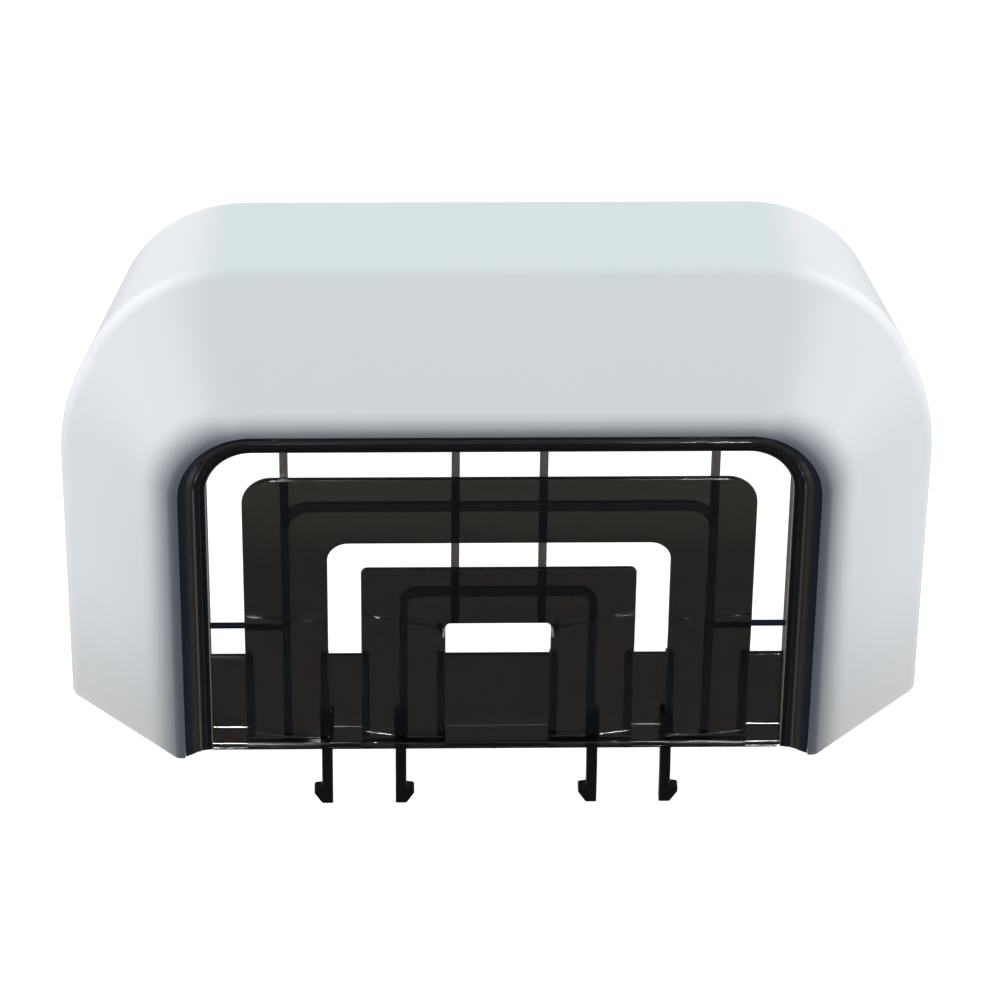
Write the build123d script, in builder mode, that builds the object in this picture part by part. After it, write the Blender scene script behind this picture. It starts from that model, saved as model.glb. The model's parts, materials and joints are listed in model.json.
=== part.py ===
"""Push-on light cover of a garage door opener: a milky hood with a smoked vent insert.

X is to the right, Z is up and +Y runs back to the opener's chassis. The origin is in the
middle of the open rear mouth, level with the hood's bottom edge, so the whole cover is in
front of it, at negative Y. Millimetres.
"""
import os
from math import cos, radians, sin, tan

from build123d import *

# hood
cover_width = 280
cover_height = 165.5
cover_depth = 76
wall = 2.5
front_y = -cover_depth
fold_y = front_y + 36            # where the side walls turn into the sloping front
fold_radius = 8
opening_half = 101.4             # the front opening, which the insert fills
opening_top = 125.8
opening_radius = 23.4
lip_width = 2.6                  # flat rim round the front opening
lip_depth = 6

# a corner of the hood's outline: the lean of its straight stretch in degrees, the radius
# above the stretch, the radius below it and the stretch's length
rear_corner = (66.2, 42, 40, 45.4)
fold_corner = (62, 55, 88, 1.1)
lip_corner = (62, 26, 26, 0.4)

# bezel and rail round the insert
plate = 2
bezel_width = 8.8
bezel_step = 4.6                 # width of the bezel's sloping outer face
bezel_front = front_y + 0.8
bezel_back = front_y + 16
bezel_skirt_back = front_y + 9
rail_height = 2.4
rail_depth = 3
rail_front = front_y + 4.3
rail_end_gap = 0.8               # the right end of the rail stops short of the bezel

# vent arches
face_y = front_y + 4             # front of the vent arches
outer_arch = (81.4, 107.3, 9.6)  # half width, top, corner radius
outer_gap = (54.6, 82.5, 6.7)
inner_arch = (44, 72.4, 2)
centre_slot = (16.9, 50.9, 1.7)
fold_height = 53                 # bend across the middle of each arch leg
crease_height = 3.5              # lower crease across the middle of each arch leg
leg_lean = 3                     # how far back each leg has gone at its lower crease
crease_tilt = 8                  # degrees by which bend and crease drop towards the middle

# ribs
rib_width = 2.6
rib_back = face_y + plate + 5
arch_rib_back = face_y + plate + 2.6
outer_arch_rib = (68, 95.4, 8)   # half width, top and radius of the centre line
inner_arch_rib = (30.4, 62.2, 4.5)
side_rib_height = 47.9            # underside
side_rib_width = 1.4
side_rib_depth = 2
centre_rib_x = 13.9

# recessed panels
recess_front = front_y + 9.5
recess_top = 34.2
recess_bend = 6
recess_wall = 2.6
recess_wall_back = front_y + 13.5

# snap prongs
prong_places = {"outer": 55.4, "inner": 31.3}
prong_width = 3.6
prong_depth = 4
prong_front = front_y + 6.5      # front face at the root
prong_step = 2                   # how far forward the finger steps below its root
prong_bend = -10
prong_tip = -22.5
hook_reach = 2.6
hook_top = -16.4
prong_gap = 0.3
root_width = 4.4
root_top = 12.5
root_back = front_y + 12.5

# release tabs
tab_width = 22
tab_length = 24
tab_height = 51
tab_slot = 1
tab_gap = 0.3
catch_length = 5
catch_reach = 0.9

half_width = cover_width / 2
bezel_half = opening_half - bezel_width
bezel_top = opening_top - bezel_width
arch_back = face_y + plate
far = 400                        # longer than anything that is cut


def upright(y):
    """Plane at depth y that faces the front: sketch x is X and sketch y is Z."""
    return Plane(origin=(0, y, 0), x_dir=(1, 0, 0), z_dir=(0, -1, 0))


def save(piece, label):
    """Name a finished piece and write its file."""
    piece.label = label
    export_step(piece, f"parts/{label}.step")


def hood_outline(half, top, corner, inset):
    """Outline of the hood: upright sides and leaning, rounded upper corners."""
    lean, upper_radius, lower_radius, straight = corner
    half = half - inset
    top = top - inset
    upper_tangent = (upper_radius - inset) * tan(radians(lean / 2))
    lower_tangent = (lower_radius - inset) * tan(radians(45 - lean / 2))
    length = upper_tangent + straight + lower_tangent
    side_z = top - length * sin(radians(lean))
    top_x = half - length * cos(radians(lean))
    with BuildSketch(mode=Mode.PRIVATE) as outline:
        with BuildLine():
            Polyline((-half, 0), (-half, side_z), (-top_x, top), (top_x, top), (half, side_z),
                     (half, 0), close=True)
        make_face()
        fillet([v for v in outline.vertices() if abs(v.Y - top) < 0.01], upper_radius - inset)
        fillet([v for v in outline.vertices() if abs(v.Y - side_z) < 0.01], lower_radius - inset)
    return outline.sketch


def hood_block(inset, lip_inset):
    """Solid hood from the rear mouth to the front plane, set in from the outside."""
    with BuildPart(mode=Mode.PRIVATE) as block:
        for near_y, far_y in ((0, fold_y), (fold_y, front_y)):
            with BuildSketch(upright(near_y)):
                corner = fold_corner if near_y == fold_y else rear_corner
                add(hood_outline(half_width, cover_height, corner, inset))
            with BuildSketch(upright(far_y)):
                if far_y == front_y:
                    add(hood_outline(opening_half + lip_width, opening_top + lip_width,
                                     lip_corner, lip_inset))
                else:
                    add(hood_outline(half_width, cover_height, fold_corner, inset))
            loft(ruled=True)
    return block


def arch_outline(half, top, radius, bottom=0):
    """Upright rectangle with round upper corners."""
    with BuildSketch(mode=Mode.PRIVATE) as outline:
        with Locations((0, (top + bottom) / 2)):
            Rectangle(2 * half, top - bottom)
        fillet(outline.vertices().group_by(Axis.Y)[-1], radius)
    return outline.sketch


def arch_block(front, back, outer, inner, bottom=0):
    """Arch between two outlines that share their foot, from front to back."""
    with BuildPart(mode=Mode.PRIVATE) as block:
        with BuildSketch(upright(back)):
            add(arch_outline(*outer, bottom))
            add(arch_outline(*inner, bottom), mode=Mode.SUBTRACT)
        extrude(amount=back - front)
    return block.part


def vent_arch(outer, inner, space=0):
    """Flat arch whose legs bend back across a slanting line and return at their foot.

    The space is how much of the room in front of the arch is taken in as well.
    """
    middle = (outer[0] + inner[0]) / 2
    tilt = radians(crease_tilt)
    along = Plane(origin=(middle, 0, 0), x_dir=(0, 1, 0), z_dir=(cos(tilt), 0, sin(tilt)))
    top = outer[1] + middle * tan(tilt) + plate
    low = -middle * tan(tilt)
    fronts = [(face_y, top), (face_y, fold_height), (face_y + leg_lean, crease_height),
              (rail_front, rail_height), (rail_front, low)]
    with BuildPart(mode=Mode.PRIVATE) as half:
        with BuildSketch(along):
            with BuildLine():
                backs = [(y + plate, z * cos(tilt)) for y, z in reversed(fronts)]
                Polyline([(y - space, z * cos(tilt)) for y, z in fronts] + backs, close=True)
            make_face()
        extrude(amount=far, both=True)
        with BuildSketch(upright(0)):
            add(arch_outline(*outer, rail_height))
            add(arch_outline(*inner, rail_height), mode=Mode.SUBTRACT)
            with Locations((-far / 2, far / 2)):
                Rectangle(far, far, mode=Mode.SUBTRACT)
        extrude(amount=cover_depth, mode=Mode.INTERSECT)
        mirror(about=Plane.YZ)
    return half.part


def box(x_range, y_range, z_range):
    """Plain block between two corners."""
    spans = (x_range, y_range, z_range)
    with BuildPart(mode=Mode.PRIVATE) as block:
        with Locations(tuple(sum(span) / 2 for span in spans)):
            Box(*[abs(span[1] - span[0]) for span in spans])
    return block.part


def prong(side, place, hook_side):
    """Finger that steps forward below its root and ends in a hook towards hook_side."""
    middle = side * place
    front = prong_front - prong_step
    with BuildPart(mode=Mode.PRIVATE) as finger:
        with BuildSketch(Plane.YZ.offset(middle)):
            with BuildLine():
                Polyline((prong_front, -prong_gap), (front, prong_bend), (front, prong_tip),
                         (front + prong_depth, prong_tip), (front + prong_depth, prong_bend),
                         (prong_front + prong_depth, -prong_gap), close=True)
            make_face()
        extrude(amount=prong_width + hook_reach, both=True)
        with BuildSketch(upright(0)):
            with BuildLine():
                inner = middle - hook_side * prong_width / 2
                neck = middle + hook_side * prong_width / 2
                reach = neck + hook_side * hook_reach
                Polyline((inner, 0), (neck, 0), (neck, hook_top), (reach, hook_top - 0.3),
                         (reach, hook_top - 2.4), (neck, prong_tip), (inner, prong_tip),
                         close=True)
            make_face()
        extrude(amount=cover_depth, mode=Mode.INTERSECT)
    return finger.part


def side_name(side):
    """The word for a side: -1 is left and 1 is right."""
    return "left" if side < 0 else "right"


os.makedirs("parts", exist_ok=True)

# milky hood
with BuildPart() as lens_shell:
    add(hood_block(0, 0).part)
    fold_edges = lens_shell.edges().filter_by_position(Axis.Y, fold_y, fold_y)
    fillet([e for e in fold_edges if e.bounding_box().max.Z > 0.01], fold_radius)
    add(hood_block(wall, wall * 1.4).part, mode=Mode.SUBTRACT)
    with BuildSketch(upright(front_y + lip_depth)):
        add(arch_outline(opening_half, opening_top, opening_radius))
    extrude(amount=lip_depth + 1, both=True, mode=Mode.SUBTRACT)
    for side in (-1, 1):
        add(box((side * (half_width - 2 * wall), side * (half_width + 1)),
                (-tab_length - tab_gap, 1),
                (tab_height - tab_width / 2 - tab_slot, tab_height + tab_width / 2 + tab_slot)),
            mode=Mode.SUBTRACT)
save(lens_shell.part, "lens_shell")

# release tabs: tongues in the side walls that end in a catch behind the rear mouth
for side in (-1, 1):
    with BuildPart() as release_tab:
        with BuildSketch(Plane.XY.offset(tab_height)):
            with BuildLine():
                outer = side * half_width
                inner = outer - side * wall
                catch = inner + side * (wall - catch_reach)
                Polyline((outer, -tab_length), (outer, catch_length - 2.5),
                         (catch, catch_length), (inner, catch_length), (inner, -tab_length),
                         close=True)
            make_face()
        extrude(amount=tab_width / 2, both=True)
    save(release_tab.part, f"release_tab_{side_name(side)}")

# bezel: a channel that follows the front opening
with BuildPart() as bezel_frame:
    with BuildLine() as opening_edge:
        start = (-opening_half, bezel_front, 0)
        FilletPolyline(start, (-opening_half, bezel_front, opening_top),
                       (opening_half, bezel_front, opening_top), (opening_half, bezel_front, 0),
                       radius=opening_radius)
    with BuildSketch(Plane(origin=start, x_dir=(1, 0, 0), z_dir=(0, 0, 1))):
        with BuildLine():
            inner_y = face_y + 0.5 - bezel_front
            skirt = bezel_skirt_back - bezel_front
            back = bezel_back - bezel_front
            step_y = face_y - bezel_front
            Polyline((0, 0), (bezel_step, step_y), (bezel_width, inner_y), (bezel_width, back),
                     (bezel_width - plate, back), (bezel_width - plate, inner_y + plate),
                     (bezel_step, step_y + plate), (plate, plate + 0.4), (plate, skirt),
                     (0, skirt), close=True)
        make_face()
    sweep(path=opening_edge.line)
save(bezel_frame.part, "bezel_frame")

# rail across the foot of the insert
with BuildPart() as bottom_rail:
    add(box((-bezel_half, bezel_half - rail_end_gap), (rail_front, rail_front + rail_depth),
            (0, rail_height)))
save(bottom_rail.part, "bottom_rail")

# vent arches
outer_vent_arch = vent_arch(outer_arch, outer_gap)
save(outer_vent_arch, "outer_vent_arch")
inner_vent_arch = vent_arch(inner_arch, centre_slot)
save(inner_vent_arch, "inner_vent_arch")
leg_space = [vent_arch(outer_arch, outer_gap, 20), vent_arch(inner_arch, centre_slot, 20)]

# prong roots: blocks behind the legs
roots = []
for side in (-1, 1):
    for name, place in prong_places.items():
        middle = side * place
        with BuildPart() as prong_root:
            add(box((middle - root_width / 2, middle + root_width / 2),
                    (rail_front + plate, root_back), (0, root_top)))
            for neighbour in leg_space + [bottom_rail.part]:
                add(neighbour, mode=Mode.SUBTRACT)
        roots.append(prong_root.part)
        save(prong_root.part, f"prong_root_{name}_{side_name(side)}")

# snap prongs: each pair's hooks face away from each other
for side in (-1, 1):
    for name, place in prong_places.items():
        hook_side = side if name == "outer" else -side
        save(prong(side, place, hook_side), f"snap_prong_{name}_{side_name(side)}")

# recessed panels between the legs, with a side wall behind each leg beside them
recesses = {
    "recess_panel_centre": (-centre_slot[0], centre_slot[0], True, True),
    "recess_panel_inner_left": (-outer_gap[0], -inner_arch[0], True, True),
    "recess_panel_inner_right": (inner_arch[0], outer_gap[0], True, True),
    "recess_panel_outer_left": (-bezel_half, -outer_arch[0], False, True),
    "recess_panel_outer_right": (outer_arch[0], bezel_half, True, False),
}
panels = []
for name, (left, right, left_wall, right_wall) in recesses.items():
    with BuildPart() as recess_panel:
        with BuildSketch(Plane.YZ.offset(left)):
            with BuildLine():
                Polyline((rail_front, rail_height), (recess_front, recess_bend),
                         (recess_front, recess_top), (recess_front + plate, recess_top),
                         (recess_front + plate, rail_height), close=True)
            make_face()
        extrude(amount=right - left)
        if left_wall:
            add(box((left - recess_wall, left), (rail_front + plate, recess_wall_back),
                    (rail_height, recess_top)))
        if right_wall:
            add(box((right, right + recess_wall), (rail_front + plate, recess_wall_back),
                    (rail_height, recess_top)))
        for neighbour in leg_space + roots:
            add(neighbour, mode=Mode.SUBTRACT)
    panels.append(recess_panel.part)
    save(recess_panel.part, name)

# ribs behind the arches
arch_ribs = []
for name, (half, top, radius) in {"outer": outer_arch_rib, "inner": inner_arch_rib}.items():
    edge = rib_width / 2
    with BuildPart() as arch_rib:
        add(arch_block(face_y + plate, rib_back, (half + edge, top + edge, radius + edge),
                       (half - edge, top - edge, radius - edge), rail_height))
        for neighbour in leg_space + roots + panels:
            add(neighbour, mode=Mode.SUBTRACT)
        add(box((-half + 2 * edge, half - 2 * edge), (arch_rib_back, 0), (fold_height, far)),
            mode=Mode.SUBTRACT)
    arch_ribs.append(arch_rib.part)
    save(arch_rib.part, f"{name}_arch_rib")

for side in (-1, 1):
    for name, place, foot in (("outer", outer_arch_rib[0], outer_arch_rib[1] - 12),
                              ("centre", centre_rib_x, centre_slot[1])):
        middle = side * place
        with BuildPart() as vent_rib:
            add(box((middle - rib_width / 2, middle + rib_width / 2), (arch_back, rib_back),
                    (foot, bezel_top)))
            for neighbour in leg_space + arch_ribs:
                add(neighbour, mode=Mode.SUBTRACT)
        save(vent_rib.part, f"vent_rib_{name}_{side_name(side)}")

    with BuildPart() as side_rib:
        add(box((side * (outer_arch_rib[0] + rib_width / 2), side * bezel_half),
                (arch_back, arch_back + side_rib_depth),
                (side_rib_height, side_rib_height + side_rib_width)))
        for neighbour in leg_space + arch_ribs:
            add(neighbour, mode=Mode.SUBTRACT)
    save(side_rib.part, f"side_rib_{side_name(side)}")
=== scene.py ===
import json
import math
import bmesh
import bpy
from mathutils import Matrix, Vector

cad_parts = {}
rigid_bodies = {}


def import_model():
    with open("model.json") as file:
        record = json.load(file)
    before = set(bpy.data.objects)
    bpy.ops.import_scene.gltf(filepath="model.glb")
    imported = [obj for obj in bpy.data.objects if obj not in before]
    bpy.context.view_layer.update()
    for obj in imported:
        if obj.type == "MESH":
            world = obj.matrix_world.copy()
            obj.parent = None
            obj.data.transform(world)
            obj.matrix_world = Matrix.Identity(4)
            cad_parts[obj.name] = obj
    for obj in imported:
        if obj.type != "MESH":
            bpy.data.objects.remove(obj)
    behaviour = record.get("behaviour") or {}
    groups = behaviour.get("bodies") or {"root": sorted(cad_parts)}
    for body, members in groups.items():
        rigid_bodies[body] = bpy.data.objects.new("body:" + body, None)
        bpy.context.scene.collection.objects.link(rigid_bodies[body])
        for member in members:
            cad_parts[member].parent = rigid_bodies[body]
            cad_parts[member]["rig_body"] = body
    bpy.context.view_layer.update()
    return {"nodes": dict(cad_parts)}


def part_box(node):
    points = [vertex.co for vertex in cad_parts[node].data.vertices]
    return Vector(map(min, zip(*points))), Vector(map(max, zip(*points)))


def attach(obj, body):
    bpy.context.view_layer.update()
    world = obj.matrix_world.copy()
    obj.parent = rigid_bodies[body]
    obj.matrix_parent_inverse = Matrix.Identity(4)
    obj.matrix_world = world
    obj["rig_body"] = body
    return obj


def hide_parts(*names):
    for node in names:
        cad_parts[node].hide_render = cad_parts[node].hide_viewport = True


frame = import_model()
mm = 0.001


def corners(node):  # lowest and highest corner of a CAD node, in millimetres
    low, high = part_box(node)
    return low / mm, high / mm


def linear(hexColour):  # sRGB hex to the linear colour that the shader wants
    channels = [int(hexColour[i:i + 2], 16) / 255 for i in (1, 3, 5)]
    return [c / 12.92 if c <= 0.04045 else ((c + 0.055) / 1.055) ** 2.4 for c in channels] + [1.0]


def addNode(tree, kind, settings=None, inputs=None, links=None):
    node = tree.nodes.new(kind)
    for key, value in (settings or {}).items():
        setattr(node, key, value)
    for key, value in (inputs or {}).items():
        node.inputs[key].default_value = value
    for key, source in (links or {}).items():
        tree.links.new(source, node.inputs[key])
    return node


def startMaterial(name):
    material = bpy.data.materials.new(name)
    material.use_nodes = True
    tree = material.node_tree
    tree.nodes.clear()
    return material, tree


def setRamp(node, stops):
    ramp = node.color_ramp
    while len(ramp.elements) < len(stops):
        ramp.elements.new(0.5)
    for element, (place, colour) in zip(ramp.elements, stops):
        element.position = place
        element.color = colour


milkyLook = {
    "face": "#C8CBD0",        # opal pigment in clear polycarbonate
    "cloud": "#C4CACE",       # slow drift of the pigment
    "foot": "#B6B8B8",        # painted shade: darker and greyer towards the foot
    "footShadeTop": 60,         # mm
    "paintedRoofLight": "#C3CDCE",        # painted light: a touch greener on the flat roof, where light comes through
    "paintedRoofLightFrom": ((-46, -36), (125, 158)),   # mm, from front to back and upwards
    "corner": "#D2D5D9",      # painted highlight where the shell turns
    "openingShade": "#4A4F59",  # painted shade next to the opening, where the dark smoked channel shows through the milky wall
    "roughness": 0.38,        # satin from a finely sparked mould
    "roughnessSpread": 0.05,  # either way, with the grain
    "ior": 1.585,
    "scatter": 0.2,           # share of the light that comes back out from inside
    "scatterDepth": 4,        # mm
    "cloudSize": 60,          # mm
    "grainSize": 1.1,         # mm, drawn coarser than the real 0.3 mm so that it shows
    "grainDepth": 0.012,      # mm
}


def milkyPolycarbonate():  # injection moulded, light goes a few millimetres in and comes back out
    look = milkyLook
    material, tree = startMaterial("moulded opal polycarbonate")
    place = addNode(tree, "ShaderNodeTexCoord")
    cloud = addNode(tree, "ShaderNodeTexNoise",
                    inputs={"Scale": 1 / (look["cloudSize"] * mm), "Detail": 2.0},
                    links={"Vector": place.outputs["Object"]})
    cloudMix = addNode(tree, "ShaderNodeMix", {"data_type": "RGBA"},
                       {6: linear(look["face"]), 7: linear(look["cloud"])}, {0: cloud.outputs["Fac"]})
    split = addNode(tree, "ShaderNodeSeparateXYZ", links={"Vector": place.outputs["Object"]})
    # painted shade, darker towards the foot
    footShadeAmount = addNode(tree, "ShaderNodeMapRange", {"interpolation_type": "SMOOTHSTEP"},
                      {"From Max": look["footShadeTop"] * mm, "To Min": 1.0, "To Max": 0.0},
                      {"Value": split.outputs["Z"]})
    # painted light on the flat roof, mixed in by position
    roofLightFront, roofLightBottom = look["paintedRoofLightFrom"]
    inRoofLight = [addNode(tree, "ShaderNodeMapRange", {"interpolation_type": "SMOOTHSTEP"},
                      {"From Min": span[0] * mm, "From Max": span[1] * mm},
                      {"Value": split.outputs[axis]})
              for axis, span in (("Y", roofLightFront), ("Z", roofLightBottom))]
    roofLightAmount = addNode(tree, "ShaderNodeMath", {"operation": "MULTIPLY"},
                       links={0: inRoofLight[0].outputs["Result"], 1: inRoofLight[1].outputs["Result"]})
    roofLightMix = addNode(tree, "ShaderNodeMix", {"data_type": "RGBA"}, {7: linear(look["paintedRoofLight"])},
                      {0: roofLightAmount.outputs["Value"], 6: cloudMix.outputs[2]})
    # painted highlight on the corners, from a mesh attribute
    corner = addNode(tree, "ShaderNodeAttribute", {"attribute_name": "paintedCornerLight"})
    cornerHighlightMix = addNode(tree, "ShaderNodeMix", {"data_type": "RGBA"}, {7: linear(look["corner"])},
                        {0: corner.outputs["Fac"], 6: roofLightMix.outputs[2]})
    footShadeMix = addNode(tree, "ShaderNodeMix", {"data_type": "RGBA"}, {7: linear(look["foot"])},
                      {0: footShadeAmount.outputs["Result"], 6: cornerHighlightMix.outputs[2]})
    shade = addNode(tree, "ShaderNodeAttribute", {"attribute_name": "channelShade"})
    openingShadeMix = addNode(tree, "ShaderNodeMix", {"data_type": "RGBA"}, {7: linear(look["openingShade"])},
                      {0: shade.outputs["Fac"], 6: footShadeMix.outputs[2]})
    grain = addNode(tree, "ShaderNodeTexNoise",
                    inputs={"Scale": 1 / (look["grainSize"] * mm), "Detail": 2.0},
                    links={"Vector": place.outputs["Object"]})
    bump = addNode(tree, "ShaderNodeBump", inputs={"Strength": 0.5, "Distance": look["grainDepth"] * mm},
                   links={"Height": grain.outputs["Fac"]})
    rough = addNode(tree, "ShaderNodeMapRange",
                    inputs={"To Min": look["roughness"] - look["roughnessSpread"],
                            "To Max": look["roughness"] + look["roughnessSpread"]},
                    links={"Value": grain.outputs["Fac"]})
    shader = addNode(tree, "ShaderNodeBsdfPrincipled",
                     inputs={"IOR": look["ior"], "Subsurface Weight": look["scatter"],
                             "Subsurface Scale": look["scatterDepth"] * mm,
                             "Subsurface Radius": (1.0, 1.0, 1.0)},
                     links={"Base Color": openingShadeMix.outputs[2], "Roughness": rough.outputs["Result"],
                            "Normal": bump.outputs["Normal"]})
    addNode(tree, "ShaderNodeOutputMaterial", links={"Surface": shader.outputs["BSDF"]})
    return material


smokedLook = {
    # tint, flow streak and the tint towards the top, which is painted light
    "plate": ("#1E1C18", "#1A1815", "#272520"),   # 2 mm plate, nearly opaque, painted lighter towards its top
    "rib": ("#43403C", "#3B3834", "#43403C"),     # painted light: tinted lighter than the plate, as if lit through their sides
    "stiffener": ("#8590A0", "#788290", "#8590A0"),   # painted light: a bluish tint for light caught along their edges
    "prong": ("#040405", "#030304", "#040405"),   # thick blocks
    "topLightHeight": (78, 98),           # mm, where the painted light on the top starts and where it is full
    "roughness": 0.06,                 # polished mould, dark glassy gloss
    "roughnessSpread": 0.06,           # upwards, with the flow marks
    "ior": 1.585,
    "streakSize": 22,         # mm, flow marks that spread from the gate
    "streakRise": 0.45,       # the marks are drawn out upwards
    "rippleSize": 3.5,        # mm, slight sink marks that break up the glints
    "rippleDepth": 0.006,     # mm
    # dark smoked tint with painted light and shade across the channel, from its outer lip, over the slope
    # and the bead, to its inner wall
    "channel": [(0.0, "#081420"), (0.24, "#0E1A24"), (0.34, "#2C2820"), (0.5, "#2A2620"),
                (0.6, "#101114"), (0.72, "#121315"), (0.78, "#050608"), (0.95, "#050608"),
                (0.99, "#8A8072")],
    "channelWidth": 8.8,      # mm
    "channelScatter": 0.6,    # its folded walls throw this share of the light back
}


def streakedTint(tree, place, flow, tones):  # flow marks, and a lighter tint towards the top that is painted light
    tint, streak, topLight = tones
    start, full = smokedLook["topLightHeight"]
    tintMix = addNode(tree, "ShaderNodeMix", {"data_type": "RGBA"}, {6: linear(tint), 7: linear(streak)},
                      {0: flow.outputs["Fac"]})
    split = addNode(tree, "ShaderNodeSeparateXYZ", links={"Vector": place.outputs["Object"]})
    height = addNode(tree, "ShaderNodeMapRange", inputs={"From Min": start * mm, "From Max": full * mm},
                     links={"Value": split.outputs["Z"]})
    topLightMix = addNode(tree, "ShaderNodeMix", {"data_type": "RGBA"}, {7: linear(topLight)},
                       {0: height.outputs["Result"], 6: tintMix.outputs[2]})
    return topLightMix.outputs[2]


def channelLightAndShade(tree):  # painted light and shade across the channel; a piece without the attribute gets the tint of the outer lip
    inward = addNode(tree, "ShaderNodeAttribute", {"attribute_name": "inward"})
    across = addNode(tree, "ShaderNodeMapRange", inputs={"From Max": smokedLook["channelWidth"]},
                     links={"Value": inward.outputs["Fac"]})
    lightBands = addNode(tree, "ShaderNodeValToRGB", links={"Fac": across.outputs["Result"]})
    setRamp(lightBands, [(stop, linear(tone)) for stop, tone in smokedLook["channel"]])
    return lightBands.outputs["Color"]


def smokedPolycarbonate(kind):
    look = smokedLook
    material, tree = startMaterial(f"moulded smoked polycarbonate {kind}")
    place = addNode(tree, "ShaderNodeTexCoord")
    stretch = addNode(tree, "ShaderNodeMapping", inputs={"Scale": (1.0, 1.0, look["streakRise"])},
                      links={"Vector": place.outputs["Object"]})
    flow = addNode(tree, "ShaderNodeTexNoise",
                   inputs={"Scale": 1 / (look["streakSize"] * mm), "Detail": 3.0, "Distortion": 0.6},
                   links={"Vector": stretch.outputs["Vector"]})
    if kind == "bezel":
        colour = channelLightAndShade(tree)
        clear = 1 - look["channelScatter"]
    else:
        colour = streakedTint(tree, place, flow, look[kind])
        clear = 1.0
    rough = addNode(tree, "ShaderNodeMapRange",
                    inputs={"To Min": look["roughness"],
                            "To Max": look["roughness"] + look["roughnessSpread"]},
                    links={"Value": flow.outputs["Fac"]})
    ripple = addNode(tree, "ShaderNodeTexNoise",
                     inputs={"Scale": 1 / (look["rippleSize"] * mm), "Detail": 1.0},
                     links={"Vector": place.outputs["Object"]})
    bump = addNode(tree, "ShaderNodeBump", inputs={"Strength": 0.6, "Distance": look["rippleDepth"] * mm},
                   links={"Height": ripple.outputs["Fac"]})
    shader = addNode(tree, "ShaderNodeBsdfPrincipled",
                     inputs={"IOR": look["ior"], "Transmission Weight": clear},
                     links={"Base Color": colour, "Roughness": rough.outputs["Result"],
                            "Normal": bump.outputs["Normal"]})
    addNode(tree, "ShaderNodeOutputMaterial", links={"Surface": shader.outputs["BSDF"]})
    return material


def studioPaper():
    material, tree = startMaterial("matt white studio paper")
    place = addNode(tree, "ShaderNodeTexCoord")
    fibre = addNode(tree, "ShaderNodeTexNoise", inputs={"Scale": 400.0, "Detail": 3.0},
                    links={"Vector": place.outputs["Object"]})
    tone = addNode(tree, "ShaderNodeMix", {"data_type": "RGBA"},
                   {6: linear("#FBFBFB"), 7: linear("#F7F7F7")}, {0: fibre.outputs["Fac"]})
    shader = addNode(tree, "ShaderNodeBsdfPrincipled",
                     inputs={"Roughness": 0.9, "Specular IOR Level": 0.1},
                     links={"Base Color": tone.outputs[2]})
    addNode(tree, "ShaderNodeOutputMaterial", links={"Surface": shader.outputs["BSDF"]})
    return material


opal = milkyPolycarbonate()
smoke = smokedPolycarbonate("plate")
smokeRibLit = smokedPolycarbonate("rib")
smokeEdgeLit = smokedPolycarbonate("stiffener")
smokeBezel = smokedPolycarbonate("bezel")
smokeDeep = smokedPolycarbonate("prong")
print("materials ready")


def smoothStep(low, high, value):
    t = min(max((value - low) / (high - low), 0), 1)
    return t * t * (3 - 2 * t)


def newShape():
    return {"points": [], "faces": []}


def skin(shape, loops, capped=True):  # joins a row of closed loops into one closed surface
    base = len(shape["points"])
    count = len(loops[0])
    for loop in loops:
        shape["points"].extend(loop)
    for i in range(len(loops) - 1):
        for j in range(count):
            k = (j + 1) % count
            a = base + i * count
            shape["faces"].append((a + j, a + k, a + count + k, a + count + j))
    if capped:
        last = base + (len(loops) - 1) * count
        shape["faces"].append(tuple(base + j for j in reversed(range(count))))
        shape["faces"].append(tuple(last + j for j in range(count)))


def roundCorners(points, radii, steps=3):  # closed polygon, in 2-D or 3-D, with each corner rounded
    rounded = []
    count = len(points)
    for i, radius in enumerate(radii):
        here = Vector(points[i])
        toBefore = Vector(points[i - 1]) - here
        toAfter = Vector(points[(i + 1) % count]) - here
        if radius <= 0:
            rounded.append(here)
            continue
        opening = toBefore.angle(toAfter)
        setback = radius / math.tan(opening / 2)
        setback = min(setback, 0.48 * toBefore.length, 0.48 * toAfter.length)
        start = here + toBefore.normalized() * setback
        end = here + toAfter.normalized() * setback
        lift = math.cos((math.pi - opening) / 2)  # weight that makes the curve a true arc
        for step in range(steps + 1):
            t = step / steps
            weights = ((1 - t) ** 2, 2 * t * (1 - t) * lift, t ** 2)
            rounded.append((start * weights[0] + here * weights[1] + end * weights[2]) / sum(weights))
    return rounded


def along(start, end, count, last=False):  # evenly spaced points from start towards end
    start, end = Vector(start), Vector(end)
    return [start.lerp(end, i / count) for i in range(count + (1 if last else 0))]


def arc(centre, radius, fromAngle, toAngle, count):
    angles = [math.radians(fromAngle + (toAngle - fromAngle) * i / count) for i in range(count)]
    return [Vector((centre[0] + radius * math.cos(a), centre[1] + radius * math.sin(a))) for a in angles]


def bothSides(rightHalf):  # left foot to right foot, from the right half that ends in the middle
    left = [Vector((-p[0], p[1])) for p in rightHalf]
    return left + list(reversed(rightHalf))[1:]


def makeObject(name, shape):
    mesh = bpy.data.meshes.new(name)
    mesh.from_pydata([Vector(p) * mm for p in shape["points"]], [], shape["faces"])
    mesh.validate()
    form = bmesh.new()
    form.from_mesh(mesh)
    bmesh.ops.recalc_face_normals(form, faces=form.faces)
    form.to_mesh(mesh)
    form.free()
    piece = bpy.data.objects.new(name, mesh)
    bpy.context.scene.collection.objects.link(piece)
    return piece


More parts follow.
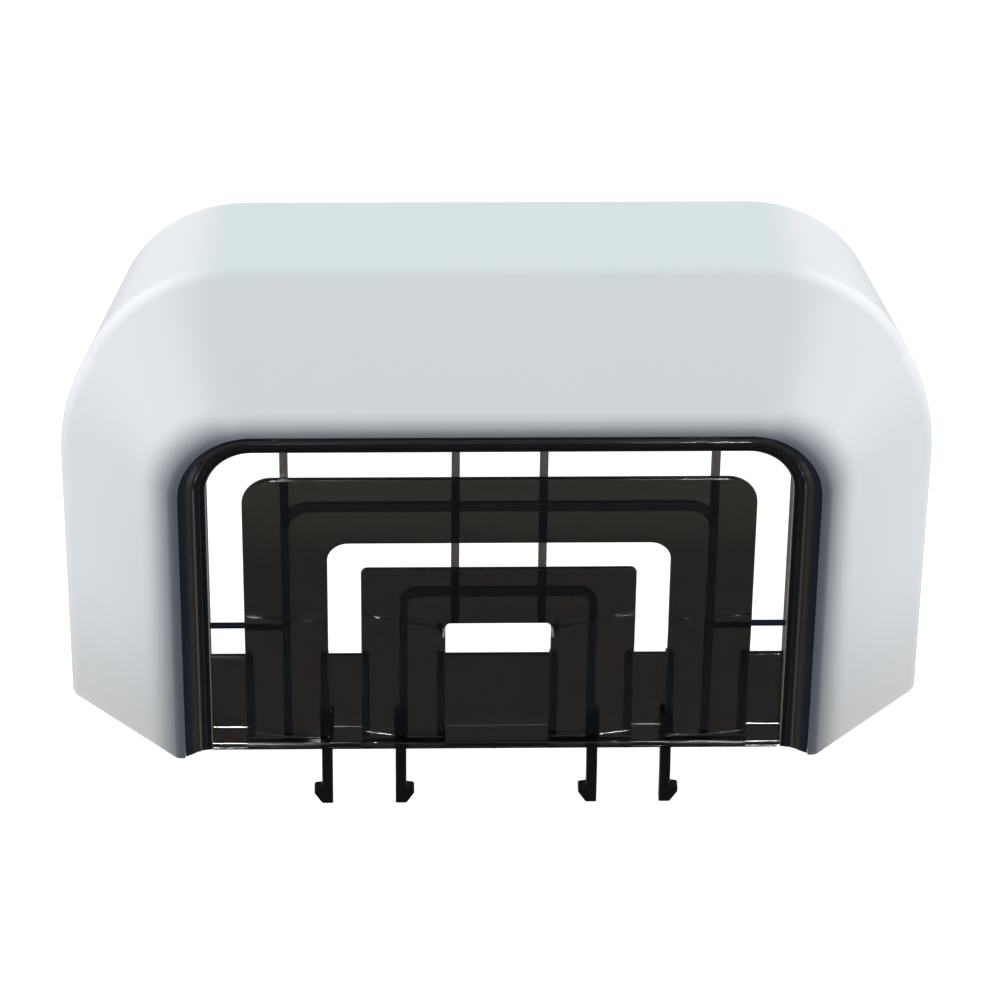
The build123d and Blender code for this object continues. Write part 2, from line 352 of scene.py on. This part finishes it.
def cutAway(piece, cuts):
    for i, cut in enumerate(cuts):
        cutter = makeObject(f"cutter {i}", cut)
        carve = piece.modifiers.new("cut", "BOOLEAN")
        carve.operation = "DIFFERENCE"
        carve.solver = "EXACT"
        carve.object = cutter
        bpy.context.view_layer.objects.active = piece
        bpy.ops.object.modifier_apply(modifier=carve.name)
        bpy.data.objects.remove(cutter)


polished = bpy.data.collections.new("polished pieces")      # what the glint lamps shine on


def makePiece(name, shape, nodes, material, slotName, sharpAngle=40, cuts=()):
    piece = makeObject(name, shape)
    cutAway(piece, cuts)
    mesh = piece.data
    mesh.shade_smooth()
    mesh.set_sharp_from_angle(angle=math.radians(sharpAngle))
    normals = piece.modifiers.new("even shading", "WEIGHTED_NORMAL")
    normals.keep_sharp = True
    mesh.materials.append(material)
    if slotName == "smoked_polycarbonate":
        polished.objects.link(piece)
    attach(piece, frame["nodes"][nodes[0]]["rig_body"])
    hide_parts(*nodes)
    return piece


# the milky hood is one skin from its rear rim over the fold and the lip and back inside
hoodLow, hoodHigh = corners("lens_shell")
bezelLow, bezelHigh = corners("bezel_frame")
hood = {
    "half": hoodHigh.x,
    "top": hoodHigh.z,
    "front": hoodLow.y,
    "rear": hoodHigh.y,
    "wall": 2.5,
    "foldDepth": 36,              # the side walls turn into the sloping front this far back
    "rearCorner": (66.2, 42, 40, 45.4),    # lean, radius above, radius below, straight stretch
    "foldCorner": (62, 55, 88, 1.1),
    "lipCorner": (62, 26, 26, 0.4),
    "openingCorner": (62, 23.4, 23.4, 0.4),
    "lip": 2.6,
    "lipDepth": 1.2,              # the lip turns in this far beside the channel
    "foldRadius": 8,
    "rollRadius": 2.4,
    "edgeRadius": 0.5,
    "slopeRows": 26,              # extra rows on the slope carry the shade in fine steps
    "slopeSpan": (0.4, 0.94),     # where they start and end, as shares of the way from fold to lip
    "shadeWidth": 12.6,           # how far the channel shows through beside the opening
    "shadeWidthTop": 7.2,         # and above it
    "shadeTop": 0.88,             # a little weaker above it
    "shadeTurn": 4,               # steepness at which beside has turned to above
    "footShade": 0.2,             # a wider, faint shade low down beside the opening
    "footShadeWidth": 32,
    "footShadeFall": 1.3,
    "footShadeHeight": (45, 110),
    # how far the surface has turned sideways and upwards where the painted corner highlight starts and is
    # full
    "cornerHighlightTurn": ((0.1, 0.4), (0.08, 0.4)),
    "tabSlot": (137, 39, 63, -24.3),   # inner side, bottom, top and front of the cut-out for a tab
}


def hoodOutline(half, top, corner, inset=0):  # always as many points, so that outlines can be joined
    lean, above, below, straight = corner
    above, below, half, top = above - inset, below - inset, half - inset, top - inset
    aboveTangent = above * math.tan(math.radians(lean / 2))
    belowTangent = below * math.tan(math.radians(45 - lean / 2))
    length = aboveTangent + straight + belowTangent
    sideTop = top - length * math.sin(math.radians(lean)) - belowTangent
    flatEnd = half - length * math.cos(math.radians(lean)) - aboveTangent
    points = along((half, 0), (half, sideTop), 22)
    points += arc((half - below, sideTop), below, 0, 90 - lean, 10)
    aboveArc = arc((flatEnd, top - above), above, 90 - lean, 90, 16)
    lowEnd = Vector((half - below, sideTop)) + below * Vector((math.sin(math.radians(lean)),
                                                              math.cos(math.radians(lean))))
    points += along(lowEnd, aboveArc[0], 6)
    points += aboveArc
    points += along((flatEnd, top), (0, top), 20, last=True)
    return bothSides(points)


def buildHood():
    h = hood
    openHalf, openTop = bezelHigh.x, bezelHigh.z
    fold = h["front"] + h["foldDepth"]
    foldOutline = hoodOutline(h["half"], h["top"], h["foldCorner"])
    lipOutline = hoodOutline(openHalf + h["lip"], openTop + h["lip"], h["lipCorner"])
    rows = [
        (hoodOutline(h["half"], h["top"], h["rearCorner"]), h["rear"], h["edgeRadius"]),
        (foldOutline, fold, h["foldRadius"]),
    ]
    slopeStart, slopeEnd = h["slopeSpan"]
    for i in range(h["slopeRows"]):
        t = slopeStart + (slopeEnd - slopeStart) * (i + 1) / h["slopeRows"]
        between = [a.lerp(b, t) for a, b in zip(foldOutline, lipOutline)]
        rows.append((between, fold + (h["front"] - fold) * t, 0))
    rows += [
        (lipOutline, h["front"], h["rollRadius"]),
        (hoodOutline(openHalf, openTop, h["openingCorner"]), h["front"], 0.4),
        (hoodOutline(openHalf, openTop, h["openingCorner"]), h["front"] + h["lipDepth"], 0.2),
        (hoodOutline(h["half"], h["top"], h["foldCorner"], h["wall"]), fold,
         h["foldRadius"] - h["wall"]),
        (hoodOutline(h["half"], h["top"], h["rearCorner"], h["wall"]), h["rear"], h["edgeRadius"]),
    ]
    loops = []
    for i in range(len(rows[0][0])):
        section = [(outline[i].x, y, outline[i].y) for outline, y, radius in rows]
        loops.append(roundCorners(section, [radius for outline, y, radius in rows], 5))
    shape = newShape()
    skin(shape, loops)
    return makePiece("light_hood", shape, ["lens_shell"], opal, "milky_polycarbonate", 50,
                     cuts=[tabCutter(side) for side in (-1, 1)])


def tabCutter(side):
    inner, bottom, top, front = hood["tabSlot"]
    cutter = newShape()
    xs = sorted((side * inner, side * (hood["half"] + 3)))     # 3 mm clear of the wall and of the rim
    skin(cutter, [[(xs[0], front, z), (xs[1], front, z), (xs[1], 3, z), (xs[0], 3, z)]
                  for z in (bottom, top)])
    return cutter


def beyondOpening(point):  # how far a point is outside the opening's edge, and how much it is above it
    radius = hood["openingCorner"][1]
    outX = abs(point.x / mm) - (bezelHigh.x - radius)
    outZ = point.z / mm - (bezelHigh.z - radius)
    if outX <= 0:
        return outZ - radius, 1
    away = math.hypot(outX, max(outZ, 0)) - radius
    return away, min(max(outZ / outX, 0), hood["shadeTurn"]) / hood["shadeTurn"]


def shadeBesideOpening(piece):  # how strongly each point gets the painted shade of the dark channel behind it
    h = hood
    shade = piece.data.attributes.new("channelShade", "FLOAT", "POINT")
    for i, vertex in enumerate(piece.data.vertices):
        away, upward = beyondOpening(vertex.co)
        z = vertex.co.z / mm
        width = h["shadeWidth"] + (h["shadeWidthTop"] - h["shadeWidth"]) * upward
        near = (1 - smoothStep(0, width, away)) * (1 + (h["shadeTop"] - 1) * upward)
        full, none = h["footShadeHeight"]
        low = min(max((none - z) / (none - full), 0), 1)
        closeness = 1 - min(max(away, 0) / h["footShadeWidth"], 1)
        wide = h["footShade"] * low * closeness ** h["footShadeFall"]
        shade.data[i].value = near + wide * (1 - near)


def paintCornerHighlight(piece):  # painted highlight where the shell turns between its roof and its sides
    sideways, upwards = hood["cornerHighlightTurn"]
    cornerHighlight = piece.data.attributes.new("paintedCornerLight", "FLOAT", "POINT")
    for i, vertex in enumerate(piece.data.vertices):
        normal = vertex.normal
        cornerHighlight.data[i].value = smoothStep(*sideways, abs(normal.x)) * smoothStep(*upwards, normal.z)


hoodPiece = buildHood()
shadeBesideOpening(hoodPiece)
paintCornerHighlight(hoodPiece)
print("hood ready")


# the smoked insert fills the opening of the hood
railLow, railHigh = corners("bottom_rail")
outerHigh = corners("outer_vent_arch")[1]
innerHigh = corners("inner_vent_arch")[1]
panel = {
    "front": -66.5,
    "thick": 2,
    "bend": 6,                # height at which the sheet turns upright
    "bendRadius": 1.8,
    "lipRadius": 1.2,
    "lip": 1,                 # height of its lower end, in front of the rail's thin stretch
    "wall": 2.6,
    "wallFront": -68.6,
    "wallEdge": 0.4,
}
# the panels' side walls stand behind the legs, so the legs end where the clear stretches start
slotHalf = corners("recess_panel_centre")[1].x - panel["wall"]
gapHalf = corners("recess_panel_inner_right")[1].x - panel["wall"]

leg = {
    "front": -72,             # face of an arch above its fold
    "lean": 3,                # the legs lean back this far from the fold to the crease
    "ledge": 0.45,            # small step along the fold
    "creaseOuter": 5.6,       # height of the crease at the outer edge of a leg
    "creaseDrop": 4.6,        # how far it drops across the leg, down to the rail
    "creaseRadius": 0.8,
    "creaseLift": 0.5,        # and it stays this far above the rail
    "foot": 0.1,              # the foot stands this far behind the front of the rail
    "footEdge": 0.3,
    "thick": 2,
    "edge": 0.6,
}
across = (0, 0.25, 0.5, 0.7, 0.8, 0.9, 1)      # places across a leg, from its outer to its inner edge
# "out", "in" and "rib" give half a width, a height and a corner radius
# "fold" gives its height at a leg's outer edge, its drop across the leg and an extra drop at the end
arches = {
    "outer": {"out": (outerHigh.x, outerHigh.z, 9.6), "in": (gapHalf, 82.5, 6.7),
              "rib": (68, 95.4, 8), "fold": (54.4, 2.0, 2.2)},
    "inner": {"out": (innerHigh.x, innerHigh.z, 2), "in": (slotHalf, 50.9, 1.7),
              "rib": (30.4, 62.2, 4.5), "fold": (55, 6, 0.2)},
}
hookFrom = 0.75               # the extra drop starts this far across
rib = {
    "width": 2.6,
    "back": corners("outer_arch_rib")[1].y,
    "shallow": 2.6,           # depth behind the top of an arch
    "rise": (48, 4),          # height at which it starts to get shallow, and over how much
    "gap": 0.06,              # thin air gap behind the plate, for a clean line between them
    "edge": 0.3,
}


def foldHeight(arch, t):
    outer, drop, hook = arch["fold"]
    return outer - drop * t - hook * (max(t - hookFrom, 0) / (1 - hookFrom)) ** 2


def creaseHeight(t):
    return max(leg["creaseOuter"] - leg["creaseDrop"] * t, railHigh.z + leg["creaseLift"])


def backOf(line, thick):  # the other face of a bent sheet of even thickness
    steps = [(line[i + 1] - line[i]).normalized() for i in range(len(line) - 1)]
    behind = [Vector((step.y, -step.x)) for step in steps]
    pairs = zip([behind[0]] + behind, behind + [behind[-1]])
    return [p + (a + b) * thick / (1 + a.dot(b)) for p, (a, b) in zip(line, pairs)]


def legProfile(arch, legTop, t):  # depth and height along a leg's front and its back, from the foot up
    foot, footFront = railHigh.z, railLow.y + leg["foot"]
    fold = foldHeight(arch, t)
    line = [Vector(p) for p in (
        (footFront, foot), (footFront, foot + leg["footEdge"]),
        (leg["front"] + leg["lean"], creaseHeight(t)),
        (leg["front"] - leg["ledge"], fold), (leg["front"], fold + leg["ledge"]),
        (leg["front"], legTop[0] + (legTop[1] - legTop[0]) * t))]
    behind = backOf(line, leg["thick"])
    # nothing hangs below the top of the rail
    behind = [Vector((p.x, max(p.y, foot + 0.03 * i))) for i, p in enumerate(behind)]
    return (roundCorners(line, [0, 0.35, leg["creaseRadius"], 0.3, 0.2, 0], 5),
            roundCorners(behind, [0, 0.05, leg["creaseRadius"] + leg["thick"], 0.2, 0.2, 0], 5))


def depthAt(arch, x, z):  # front of an arch at a point
    outer, inner = arch["out"][0], arch["in"][0]
    t = min(max((outer - abs(x)) / (outer - inner), 0), 1)
    crease, fold = creaseHeight(t), foldHeight(arch, t)
    if z > fold:
        return leg["front"]
    return leg["front"] + leg["lean"] * min((fold - z) / (fold - crease), 1)


def buildArch(name):  # skinned from the left foot over the top to the right foot
    arch = arches[name]
    (outHalf, outTop, outRadius), (inHalf, inTop, inRadius) = arch["out"], arch["in"]
    legTop = (outTop - outRadius, inTop - inRadius)
    profiles = [legProfile(arch, legTop, t) for t in across]
    rows = []
    for i in range(len(profiles[0][0])):
        rows.append([[Vector((outHalf + (inHalf - outHalf) * t, *lines[face][i]))
                      for t, lines in zip(across, profiles)] for face in (0, 1)])
    outPath = arc((outHalf - outRadius, legTop[0]), outRadius, 0, 90, 10)[1:]
    outPath += along((outHalf - outRadius, outTop), (0, outTop), 10, last=True)
    inPath = arc((inHalf - inRadius, legTop[1]), inRadius, 0, 90, 10)[1:]
    inPath += along((inHalf - inRadius, inTop), (0, inTop), 10, last=True)
    for out, into in zip(outPath, inPath):
        between = [out.lerp(into, t) for t in across]
        rows.append([[Vector((p.x, y, p.y)) for p in between]
                     for y in (leg["front"], leg["front"] + leg["thick"])])
    mirrored = [[[Vector((-p.x, p.y, p.z)) for p in line] for line in row] for row in rows]
    edges = [leg["edge"]] + [0] * (len(across) - 2) + [leg["edge"]]
    loops = [roundCorners(front + back[::-1], edges + edges) for front, back in mirrored + rows[-2::-1]]
    shape = newShape()
    skin(shape, loops)
    makePiece(f"{name}_arch_plate", shape, [f"{name}_vent_arch"], smoke, "smoked_polycarbonate")


def ribPath(half, top, radius, foot):
    points = along((half, foot), (half, top - radius), 26)
    points += arc((half - radius, top - radius), radius, 0, 90, 8)
    points += along((half - radius, top), (0, top), 10, last=True)
    return bothSides(points)


def buildArchRib(name):
    arch = arches[name]
    half, top, radius = arch["rib"]
    side = rib["width"] / 2
    foot = corners(f"{name}_arch_rib")[0].z
    outPath = ribPath(half + side, top + side, radius + side, foot)
    inPath = ribPath(half - side, top - side, radius - side, foot)
    shallowBack = leg["front"] + leg["thick"] + rib["shallow"]
    riseFrom, riseOver = rib["rise"]
    loops = []
    for out, into in zip(outPath, inPath):
        rise = min(max((into.y - riseFrom) / riseOver, 0), 1)
        back = rib["back"] + (shallowBack - rib["back"]) * rise
        outFront, inFront = [depthAt(arch, p.x, p.y) + leg["thick"] + rib["gap"] for p in (out, into)]
        section = [(out.x, outFront, out.y), (into.x, inFront, into.y), (into.x, back, into.y),
                   (out.x, back, out.y)]
        loops.append(roundCorners(section, [0.1, 0.1, rib["edge"], rib["edge"]]))
    shape = newShape()
    skin(shape, loops)
    makePiece(f"{name}_arch_stiffener", shape, [f"{name}_arch_rib"], smokeEdgeLit, "smoked_polycarbonate")


def addBlock(shape, low, high, edge, axis=2):  # rounded edges along one axis, chamfered ends
    a, b = [i for i in range(3) if i != axis]
    loops = []
    for place, inset in ((low[axis], edge), (low[axis] + edge, 0),
                         (high[axis] - edge, 0), (high[axis], edge)):
        loop = []
        for x, y in ((low[a] + inset, low[b] + inset), (high[a] - inset, low[b] + inset),
                     (high[a] - inset, high[b] - inset), (low[a] + inset, high[b] - inset)):
            point = [0, 0, 0]
            point[a], point[b], point[axis] = x, y, place
            loop.append(point)
        loops.append(roundCorners(loop, [edge] * 4, 2))
    skin(shape, loops)


bezel = {
    # inward from the opening's edge, back from the channel's front edge, corner radius
    "section": [(0.02, 0, 0.3), (2.4, 1.5, 0.3), (4.2, 2.85, 0.2), (4.5, 2.6, 0.15), (5.3, 3.4, 0.15),
                (6.7, 3.5, 0.2), (6.9, 3.7, 0.2), (8.8, 3.9, 0.6),
                (8.8, 15.2, 0.4), (6.8, 15.2, 0.4), (6.8, 5.7, 0.4), (4.6, 5.2, 0.4), (2, 2.6, 0.3),
                (2, 8.2, 0.4), (-1.2, 8.2, 0.3), (-1.2, 3.4, 0.3), (0.02, 2.2, 0.2)],
    "lug": ((-92.8, -63.4, 2.9), (-88.6, -61.8, 4.1)),      # stops at the channel's feet
    "lugEdge": 0.2,
}


def buildBezel():
    loops = []
    outlines = [hoodOutline(bezelHigh.x, bezelHigh.z, hood["openingCorner"], u)
                for u, y, radius in bezel["section"]]
    for i in range(len(outlines[0])):
        section = [(outline[i].x, bezelLow.y + y, outline[i].y)
                   for outline, (u, y, radius) in zip(outlines, bezel["section"])]
        loops.append(roundCorners(section, [radius for u, y, radius in bezel["section"]]))
    shape = newShape()
    skin(shape, loops)
    low, high = bezel["lug"]
    addBlock(shape, low, high, bezel["lugEdge"], axis=0)
    addBlock(shape, (-high[0], low[1], low[2]), (-low[0], high[1], high[2]), bezel["lugEdge"], axis=0)
    piece = makePiece("bezel_channel", shape, ["bezel_frame"], smokeBezel, "smoked_polycarbonate")
    inward = piece.data.attributes.new("inward", "FLOAT", "POINT")
    for i, vertex in enumerate(piece.data.vertices):
        inward.data[i].value = -beyondOpening(vertex.co)[0]


def buildRibs():
    for side in ("left", "right"):
        for name in ("outer", "centre"):
            low, high = corners(f"vent_rib_{name}_{side}")
            shape = newShape()
            addBlock(shape, low + Vector((0, rib["gap"], 0)), high, rib["edge"])
            makePiece(f"upright_rib_{name}_{side}", shape, [f"vent_rib_{name}_{side}"], smokeRibLit,
                      "smoked_polycarbonate")
        low, high = corners(f"side_rib_{side}")
        shape = newShape()
        addBlock(shape, low + Vector((0, rib["gap"], 0)), high, rib["edge"], axis=0)
        makePiece(f"level_rib_{side}", shape, [f"side_rib_{side}"], smokeBezel, "smoked_polycarbonate")


def buildPanels():
    names = {"recess_panel_centre": (True, True), "recess_panel_inner_left": (True, True),
             "recess_panel_inner_right": (True, True), "recess_panel_outer_left": (False, True),
             "recess_panel_outer_right": (True, False)}
    for node, (leftWall, rightWall) in names.items():
        low, high = corners(node)
        left = low.x + (panel["wall"] if leftWall else 0)
        right = high.x - (panel["wall"] if rightWall else 0)
        line = [Vector(p) for p in ((railLow.y, panel["lip"]), (railLow.y, railHigh.z),
                                    (panel["front"], panel["bend"]), (panel["front"], high.z))]
        behind = backOf(line, panel["thick"])
        radii = [0.1, panel["lipRadius"], panel["bendRadius"], 0.12,
                 0.4, panel["bendRadius"] + panel["thick"], 0.2, 0.1]
        section = roundCorners(line + behind[::-1], radii)
        shape = newShape()
        skin(shape, [[(x, p.x, p.y) for p in section] for x in (left, right)])
        sheetFaces = len(shape["faces"])
        for wanted, inner, outer in ((leftWall, left, low.x), (rightWall, right, high.x)):
            if wanted:
                addBlock(shape, (min(inner, outer), panel["wallFront"], railHigh.z),
                         (max(inner, outer), high.y, high.z), panel["wallEdge"])
        piece = makePiece(node.replace("recess_panel", "sunk_panel"), shape, [node], smoke,
                          "smoked_polycarbonate")
        piece.data.materials.append(smokeEdgeLit)      # for the side walls, in the painted edge light
        for face in piece.data.polygons[sheetFaces:]:
            face.material_index = 1


rail = {
    "edge": 0.5,
    "edgeStep": 18,           # degrees
    "underside": 0.3,         # share of the edge's rounding that the underside gets
    "gate": (-1.2, 1.6),      # where the plastic went in, across and up
    "gateRing": [(1.45, 0.1), (1.45, -0.15), (1.1, -0.15), (1.1, 0.1)],    # radius and depth
}


def buildRail():  # a comb with a rounded front and back, and the ring left by the gate
    feet = sorted(tuple(sorted((side * arch["out"][0], side * arch["in"][0])))
                  for arch in arches.values() for side in (-1, 1))
    # tall under the legs, low behind the panels' lips
    comb = [(railLow.x, 0), (railLow.x, panel["lip"])]
    for start, end in feet:
        comb += [(start, panel["lip"]), (start, railHigh.z), (end, railHigh.z), (end, panel["lip"])]
    comb += [(railHigh.x, panel["lip"]), (railHigh.x, 0)]
    angles = [math.radians(rail["edgeStep"] * i) for i in range(90 // rail["edgeStep"] + 1)]
    edge = [(rail["edge"] * (1 - math.sin(a)), rail["edge"] * (1 - math.cos(a))) for a in angles]
    ends = [(railLow.y + depth, inset) for inset, depth in edge]
    ends += [(railHigh.y - depth, inset) for inset, depth in reversed(edge)]
    loops = []
    for y, inset in ends:
        loops.append([(x, y, railLow.z + rail["underside"] * inset if z == 0 else z - inset)
                      for x, z in comb])
    shape = newShape()
    skin(shape, loops)
    ring = [Vector((math.cos(a), math.sin(a))) for a in [i * math.pi / 12 for i in range(24)]]
    gateX, gateZ = rail["gate"]
    loops = [[(gateX + p.x * radius, railLow.y + depth, gateZ + p.y * radius) for p in ring]
             for radius, depth in rail["gateRing"]]
    skin(shape, loops + [loops[0]], capped=False)
    makePiece("foot_rail", shape, ["bottom_rail"], smoke, "smoked_polycarbonate")


prong = {
    "width": 3.6,
    "depth": 4,
    "edge": 0.5,
    "crown": 1.4,             # its top narrows by this on each side, so that it can roll under the rail
    "crownHeight": 0.2,
    "stalk": [(-3, 0.6), (-9.6, 1.92), (-10.4, 2)],     # height and how far forward it leans
    "hookTop": -16.4,
    "lean": 2,                # how far forward the hook stands
    # drop below the top of the hook and how far it reaches sideways
    "hook": [(-0.1, 0), (0, 0.3), (0.3, 2.35), (0.6, 2.6), (2.2, 2.6), (2.7, 2.3)],
    "blockGap": 0.1,          # between the leg and the block behind it
    "blockEdge": 0.4,
}


def buildProng(name, side, hookSide):
    node = f"snap_prong_{name}_{side}"
    low, high = corners(node)
    left = low.x if hookSide > 0 else high.x - prong["width"]
    top = high.z + 0.05
    rows = [(top + prong["crownHeight"], 0, 0, prong["crown"]), (top, 0.04, 0, 0)]
    rows += [(z, forward, 0, 0) for z, forward in prong["stalk"]]
    rows += [(prong["hookTop"] - drop, prong["lean"], reach, 0) for drop, reach in prong["hook"]]
    rows += [(low.z + 0.5, prong["lean"], 0.5, 0), (low.z, prong["lean"], 0.1, 0)]
    loops = []
    for z, forward, reach, narrow in rows:
        x0, x1 = left + narrow, left + prong["width"] - narrow
        if hookSide > 0:
            x1 += reach
        else:
            x0 -= reach
        front = high.y - prong["depth"] - forward
        back = front + prong["depth"]
        loops.append(roundCorners([(x0, front, z), (x1, front, z), (x1, back, z), (x0, back, z)],
                                  [prong["edge"]] * 4))
    shape = newShape()
    skin(shape, loops)
    makePiece(f"hooked_prong_{name}_{side}", shape, [node], smokeDeep, "smoked_polycarbonate")


def buildProngBlock(name, side):
    node = f"prong_root_{name}_{side}"
    low, high = corners(node)
    shape = newShape()
    addBlock(shape, low + Vector((0, prong["blockGap"], 0)), high, prong["blockEdge"])
    makePiece(f"prong_block_{name}_{side}", shape, [node], smokeDeep, "smoked_polycarbonate")


def buildProngs():
    for side, sign in (("left", -1), ("right", 1)):
        for name in ("outer", "inner"):
            buildProng(name, side, sign if name == "outer" else -sign)
            buildProngBlock(name, side)


tab = {
    "gripFront": -17.5,       # grooved thumb pad
    "gripRear": -5.5,
    "grooves": 5,
    "grooveDepth": 0.35,
    "tongue": 1.5,            # thickness of the tongue that reaches into the chassis
    "catch": 0.9,
    "edge": 0.35,
}


def buildTabs():
    for side, sign in (("left", -1), ("right", 1)):
        node = f"release_tab_{side}"
        low, high = corners(node)
        outer, inner = hood["half"], min(abs(low.x), abs(high.x))
        step = (tab["gripRear"] - tab["gripFront"]) / tab["grooves"]
        outline = [(outer, low.y, 0.4)]
        for i in range(tab["grooves"]):
            start = tab["gripFront"] + i * step
            outline += [(outer, start, 0.15), (outer - tab["grooveDepth"], start + 0.35 * step, 0.3),
                        (outer, start + 0.7 * step, 0.15)]     # the last 0.3 of each step is land
        tongue = inner + tab["tongue"]
        outline += [(outer, -0.6, 0.3), (tongue, -0.1, 0.2), (tongue, 1.2, 0.2),
                    (tongue + tab["catch"], 2.0, 0.2), (tongue, high.y - 0.6, 0.2),
                    (inner + 0.4, high.y, 0.3), (inner, high.y - 1, 0.3), (inner, low.y, 0.4)]
        middle, edge = (inner + outer) / 2, tab["edge"]
        loops = []
        for z, inset in ((low.z, edge), (low.z + edge, 0), (high.z - edge, 0), (high.z, edge)):
            points = [(sign * (middle + (x - middle) * (1 - inset / 2)), y, z)
                      for x, y, radius in outline]
            loops.append(roundCorners(points, [radius for x, y, radius in outline]))
        shape = newShape()
        skin(shape, loops)
        makePiece(f"side_release_tab_{side}", shape, [node], opal, "milky_polycarbonate")


for name in arches:
    buildArch(name)
    buildArchRib(name)
buildBezel()
buildRibs()
buildPanels()
buildRail()
buildProngs()
buildTabs()
print("insert ready")


view = {
    "turn": -1.71,            # degrees
    "height": 35.02,
    "roll": 0.72,
    "distance": 1.53285,      # m
    "focal": 171.6,
    "target": (0.81, hood["front"] + 30, 81.22),      # mm
}


def addCamera():
    turn, height, roll = (math.radians(view[key]) for key in ("turn", "height", "roll"))
    back = Vector((math.sin(turn) * math.cos(height), -math.cos(turn) * math.cos(height),
                   math.sin(height)))
    right = (-back).cross(Vector((0, 0, 1))).normalized()
    up = right.cross(-back)
    rolledRight = right * math.cos(roll) + up * math.sin(roll)
    rolledUp = up * math.cos(roll) - right * math.sin(roll)
    data = bpy.data.cameras.new("camera")
    data.lens = view["focal"]
    data.sensor_width = 36
    data.clip_end = 100
    camera = bpy.data.objects.new("camera", data)
    place = Vector(view["target"]) * mm + back * view["distance"]
    turned = Matrix((rolledRight, rolledUp, back)).transposed().to_4x4()
    camera.matrix_world = Matrix.Translation(place) @ turned
    bpy.context.scene.collection.objects.link(camera)
    bpy.context.scene.camera = camera


def addSoftbox(name, place, target, size, power, glintOnly=False):
    data = bpy.data.lights.new(name, "AREA")
    data.shape = "RECTANGLE"
    data.size, data.size_y = size
    data.energy = power
    light = bpy.data.objects.new(name, data)
    light.location = place
    if glintOnly:
        light.visible_diffuse = False
        light.light_linking.receiver_collection = polished
    light.rotation_euler = (Vector(target) - Vector(place)).to_track_quat("-Z", "Y").to_euler()
    bpy.context.scene.collection.objects.link(light)


floorPlace = {"height": -0.3, "half": 30}    # m


def addFloor():
    half = floorPlace["half"]
    mesh = bpy.data.meshes.new("floor")
    mesh.from_pydata([(x, y, floorPlace["height"]) for x, y in ((-half, -half), (half, -half),
                                                                (half, half), (-half, half))],
                     [], [(0, 1, 2, 3)])
    floor = bpy.data.objects.new("floor", mesh)
    mesh.materials.append(studioPaper())
    bpy.context.scene.collection.objects.link(floor)
    floor.visible_glossy = False      # gloss mirrors the dim room in place of the bright paper


sky = {
    "strength": 1.12,
    "stops": [(0.5, linear("#F4F4F5")), (1.0, linear("#FFFFFF"))],     # from the horizon to overhead
    "gloss": "#4C4F56",       # dim room that the gloss mirrors
    "sideways": (0.25, 0.75),         # the mirrored room gets lighter towards its sides
    "forwards": (-0.25, 0.15, 0.05),  # and most of all beyond the object
}
softboxes = {                 # m and W
    "left softbox": {"place": (-1.3, 0.45, 0.95), "target": (0, -0.03, 0.1),
                     "size": (1.5, 1.2), "power": 8},
    "right softbox": {"place": (1.3, 0.45, 0.95), "target": (0, -0.03, 0.1),
                      "size": (1.5, 1.2), "power": 8},
    # two small bright lamps that only draw glints along the polished edges
    "front glint": {"place": (0.195, -1.47, 0.62), "target": (0.06, -0.07, 0.06),
                    "size": (0.08, 0.05), "power": 6, "glintOnly": True},
    "high glint": {"place": (-0.165, -1.18, 0.99), "target": (0.06, -0.07, 0.0),
                   "size": (0.1, 0.06), "power": 11, "glintOnly": True},
}


def addWorld():
    world = bpy.data.worlds.new("studio")
    world.use_nodes = True
    tree = world.node_tree
    place = addNode(tree, "ShaderNodeTexCoord")
    split = addNode(tree, "ShaderNodeSeparateXYZ", links={"Vector": place.outputs["Generated"]})
    height = addNode(tree, "ShaderNodeMapRange", inputs={"From Min": -1.0, "From Max": 1.0},
                     links={"Value": split.outputs["Z"]})
    ramp = addNode(tree, "ShaderNodeValToRGB", links={"Fac": height.outputs["Result"]})
    setRamp(ramp, sky["stops"])
    away = addNode(tree, "ShaderNodeMath", {"operation": "ABSOLUTE"}, links={0: split.outputs["X"]})
    sideways = addNode(tree, "ShaderNodeMapRange", {"interpolation_type": "SMOOTHSTEP"},
                       {"From Min": sky["sideways"][0], "From Max": sky["sideways"][1]},
                       {"Value": away.outputs["Value"]})
    forwards = addNode(tree, "ShaderNodeMapRange", {"interpolation_type": "SMOOTHSTEP"},
                       {"From Min": sky["forwards"][0], "From Max": sky["forwards"][1],
                        "To Min": sky["forwards"][2]}, {"Value": split.outputs["Y"]})
    lightness = addNode(tree, "ShaderNodeMath", {"operation": "MULTIPLY"},
                        links={0: sideways.outputs["Result"], 1: forwards.outputs["Result"]})
    room = addNode(tree, "ShaderNodeMix", {"data_type": "RGBA"},
                   {6: linear(sky["gloss"]), 7: linear("#FFFFFF")}, {0: lightness.outputs["Value"]})
    path = addNode(tree, "ShaderNodeLightPath")
    mirrored = addNode(tree, "ShaderNodeMath", {"operation": "SUBTRACT", "use_clamp": True},
                       links={0: path.outputs["Is Glossy Ray"], 1: path.outputs["Is Transmission Ray"]})
    tone = addNode(tree, "ShaderNodeMix", {"data_type": "RGBA"},
                   links={0: mirrored.outputs["Value"], 6: ramp.outputs["Color"], 7: room.outputs[2]})
    background = tree.nodes["Background"]
    background.inputs["Strength"].default_value = sky["strength"]
    tree.links.new(tone.outputs[2], background.inputs["Color"])
    bpy.context.scene.world = world


addCamera()
addFloor()
for name, box in softboxes.items():
    addSoftbox(name, **box)
addWorld()
bpy.context.scene.view_settings.view_transform = "Standard"
print("stage ready")
